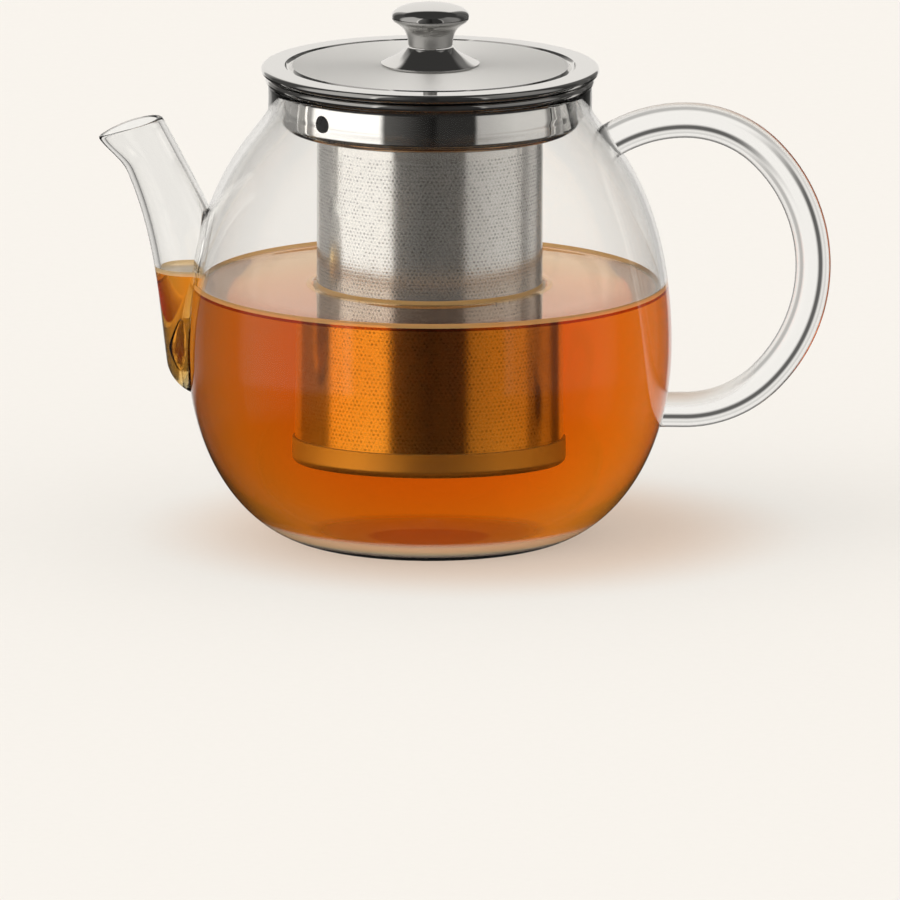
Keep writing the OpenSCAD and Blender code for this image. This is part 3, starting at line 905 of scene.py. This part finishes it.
def knob():
    widest_z = knob_top - dome_h
    stem = line((waist_r, waist_z), (waist_r, waist_z + stem_h),
                (knob_r, widest_z - knob_swell), (knob_r, widest_z))
    dome = line((knob_r, widest_z), (knob_r, widest_z + dome_h * dome_hold), (knob_r * dome_hold, knob_top),
                (0, knob_top))
    joint = 0.18
    bore_r, bore_top = 2.0, waist_z + 7.05
    outline = (line((bore_r, waist_z), (waist_r - joint, waist_z + joint / 3))
               + [p for p in curve(stem, steps=48) if p.y > waist_z + joint]
               + curve(dome, steps=32)[1:] + line((0, bore_top), (bore_r, bore_top)))
    made = revolve("knob", outline, polished_steel)
    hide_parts("lid_knob")
    return made


# ---------------------------------------------------------------- what rides on what
for made in (glass_pot(), glass_spout(), glass_handle()):
    made.visible_diffuse = False
    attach(made, "pot")
for made in (pot_tea(), spout_tea()):
    made.visible_diffuse = False
    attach(made, "pot")
for made, slot in ((collar(), "polished_steel"), (filter_sleeve(), "filter_steel"),
                   (filter_band(), "satin_steel")):
    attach(made, "infuser")
for made, slot in ((lid_plate(), "satin_steel"), (ferrule(), "polished_steel"), (knob(), "polished_steel")):
    made.visible_glossy = slot == "satin_steel"
    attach(made, "lid")
for name, material in (("infuser_base", filter_steel), ("lid_skirt", satin_steel),
                       ("knob_washer", satin_steel), ("knob_screw", satin_steel)):
    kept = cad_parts[name]
    kept.data.materials.clear()
    kept.data.materials.append(material)


# ---------------------------------------------------------------- camera, floor and light
PIXELS = 900
pixels_per_mm = 3.59
axis_px, rest_px = 429.0, 537.4    # where the pot's axis and its foot's middle lie in the picture
camera_turn = math.radians(11.3)
camera_roll = 0.0035
camera_far = 9.0                 # in metres; from far off, all the round rims look equally open


def camera():
    made = bpy.data.cameras.new("camera")
    made.sensor_width = 36
    made.lens = pixels_per_mm * made.sensor_width * camera_far / MM / PIXELS
    made.clip_end = 100
    eye = bpy.data.objects.new("camera", made)
    bpy.context.scene.collection.objects.link(eye)
    right = (PIXELS / 2 - axis_px) / pixels_per_mm * MM
    up = (rest_px - PIXELS / 2) / pixels_per_mm * MM
    target = Vector((right, 0, up / math.cos(camera_turn)))
    back = Vector((0, -math.cos(camera_turn), math.sin(camera_turn)))
    turn = back.to_track_quat("Z", "Y").to_matrix().to_4x4() @ Matrix.Rotation(camera_roll, 4, "Z")
    eye.matrix_world = Matrix.Translation(target + back * camera_far) @ turn
    bpy.context.scene.camera = eye


def stage_floor():
    half = 8.0
    mesh = bpy.data.meshes.new("floor")
    corners = [(-half, -half, 0), (half, -half, 0), (half, half, 0), (-half, half, 0)]
    mesh.from_pydata(corners, [], [(0, 1, 2, 3)])
    mesh.materials.append(floor_material())
    made = bpy.data.objects.new("floor", mesh)
    bpy.context.scene.collection.objects.link(made)
    made.visible_glossy = False


def dot(tree, vector, x, y, z):
    """How far a direction points along a fixed vector."""
    flat = calc(tree, "ADD", calc(tree, "MULTIPLY", x, vector.x), calc(tree, "MULTIPLY", y, vector.y))
    return calc(tree, "ADD", flat, calc(tree, "MULTIPLY", z, vector.z))


def mirrored_room(tree, path, azimuth, height):
    """What reflections see: a dark front, a soft white box on the left, a greyer one on the right, a pale
    wall behind, a dark ceiling and a dark floor. All charts are levels by angle, in degrees."""
    aside = calc(tree, "ABSOLUTE", azimuth)
    inside = path.outputs["Is Transmission Ray"]
    surfaces = path.outputs["Transmission Depth"]
    around = chart(tree, azimuth, [
        (-180, 0.85), (-157, 0.85), (-153, 0.42), (-105, 0.42), (-101, 1.6), (-40, 1.6), (-36, 0.12),
        (-8, 0.03), (3, 0.01), (7, 0.03), (35, 0.03), (38, 0.5), (70, 0.75), (100, 0.8), (104, 0.25),
        (119, 0.35), (123, 0.6), (138, 0.55), (142, 0.15), (159, 0.18), (163, 0.85), (180, 0.85)])
    behind = spread(tree, aside, 100, 106, 0, 1)
    ceiling = blend(tree, behind, spread(tree, height, 58, 68, 0, 1), spread(tree, height, 40, 47, 0, 1))
    low_edge = blend(tree, inside, spread(tree, height, -15, -12, 1, 0),
                     spread(tree, height, -24, -17, 1, 0))
    # the first mirror image on glass is weaker than on steel
    faded = chart(tree, aside, [(0, 1), (36, 1), (42, 0.28), (92, 0.28), (100, 0.15), (135, 0.15),
                                (157, 1), (180, 1)])
    first = blend(tree, inside, calc(tree, "MULTIPLY", around, faded), around)
    mirrored = blend(tree, low_edge, blend(tree, ceiling, first, 0.04), 0.02)
    # the glass wall's own inner mirror image is faint
    inner = chart(tree, aside, [(0, 0.05), (36, 0.05), (50, 0.28), (96, 0.28), (102, 0.1), (125, 0.15),
                                (142, 0.6), (160, 0.85), (180, 0.9)])
    fading = blend(tree, spread(tree, aside, 108, 120, 0, 1), spread(tree, height, -24, -9, 0.9, 0), 0)
    within = calc(tree, "COMPARE", surfaces, 2, 0.5)
    mirrored = blend(tree, within, mirrored, less(tree, inner, inner, fading))
    in_tea = calc(tree, "GREATER_THAN", surfaces, 4.5)
    return calc(tree, "MULTIPLY", mirrored, calc(tree, "ADD", 1, calc(tree, "MULTIPLY", in_tea, 0.25)))


def seen_through(tree, path, azimuth, x, y, z):
    """What is seen through glass: the pale wall, with darker sides that draw the glass's edges. Through the
    handle's rod there are rings of darkness about the straight line of sight, deeper up and left."""
    ahead = Vector((0, math.cos(camera_turn), -math.sin(camera_turn)))
    upward = Vector((0, math.sin(camera_turn), math.cos(camera_turn)))
    bent = calc(tree, "DEGREES", calc(tree, "ARCCOSINE", dot(tree, ahead, x, y, z)))
    up_left = calc(tree, "SUBTRACT", dot(tree, upward, x, y, z), x)
    deep = chart(tree, bent, [(0, 0.95), (8, 0.95), (13, 0.12), (19, 0.12), (25, 0.9), (33, 0.7),
                              (39, 0.95), (50, 0.95), (58, 0.35), (72, 0.35), (80, 0.85), (180, 0.85)])
    faint = chart(tree, bent, [(0, 0.95), (20, 0.95), (26, 0.5), (33, 0.55), (40, 0.95), (54, 0.9),
                               (62, 0.4), (74, 0.4), (80, 0.85), (180, 0.85)])
    rod = blend(tree, spread(tree, up_left, -0.15, 0.15, 0, 1), faint, deep)
    wall = chart(tree, calc(tree, "ABSOLUTE", azimuth), [
        (0, 0.5), (100, 0.5), (110, 0.15), (142, 0.12), (156, 0.92), (180, 0.94)])
    liquid = chart(tree, azimuth, [
        (-180, 0.85), (-165, 0.95), (-150, 0.82), (-135, 0.5), (-118, 0.4), (-100, 0.85), (100, 0.85),
        (118, 0.25), (135, 0.3), (148, 0.42), (160, 0.64), (170, 0.8), (180, 0.85)])
    surfaces = path.outputs["Transmission Depth"]
    through = blend(tree, calc(tree, "GREATER_THAN", surfaces, 3.5), rod, wall)
    return blend(tree, calc(tree, "GREATER_THAN", surfaces, 4.5), through, liquid)


def room_light(tree, x, y, z):
    """The light that falls on plain surfaces: even, with more from the upper left."""
    lamp = Vector((-0.62, -0.28, 0.73)).normalized()
    key = calc(tree, "POWER", calc(tree, "MAXIMUM", dot(tree, lamp, x, y, z), 0), 12)
    top = calc(tree, "POWER", calc(tree, "MAXIMUM", z, 0), 3)
    above = calc(tree, "ADD", calc(tree, "MULTIPLY", key, 2.0), calc(tree, "MULTIPLY", top, 1.2))
    return calc(tree, "ADD", above, 0.5)


def studio():
    """The room. Azimuth 0 is towards the camera, positive to the right."""
    world = bpy.data.worlds.new("studio")
    bpy.context.scene.world = world
    world.use_nodes = True
    tree = world.node_tree
    split = node(tree, "ShaderNodeSeparateXYZ")
    tree.links.new(node(tree, "ShaderNodeTexCoord").outputs["Generated"], split.inputs[0])
    x, y, z = split.outputs
    azimuth = calc(tree, "DEGREES", calc(tree, "ARCTAN2", x, calc(tree, "MULTIPLY", y, -1)))
    height = calc(tree, "DEGREES", calc(tree, "ARCSINE", z))
    path = node(tree, "ShaderNodeLightPath")

    bounced = calc(tree, "GREATER_THAN", path.outputs["Glossy Depth"], 0.5)
    lighting = calc(tree, "GREATER_THAN", path.outputs["Diffuse Depth"], 0.5)
    indirect = blend(tree, bounced, seen_through(tree, path, azimuth, x, y, z),
                     mirrored_room(tree, path, azimuth, height))
    level = blend(tree, lighting, indirect, room_light(tree, x, y, z))
    warm, backdrop = (1.0, 0.975, 0.935), (0.913, 0.871, 0.807)
    tinted = blend_colours(tree, level, (0, 0, 0), warm)
    seen = blend_colours(tree, path.outputs["Is Camera Ray"], tinted, backdrop)
    tree.links.new(seen, tree.nodes["Background"].inputs["Color"])


camera()
stage_floor()
studio()
bpy.context.scene.view_settings.view_transform = "Standard"
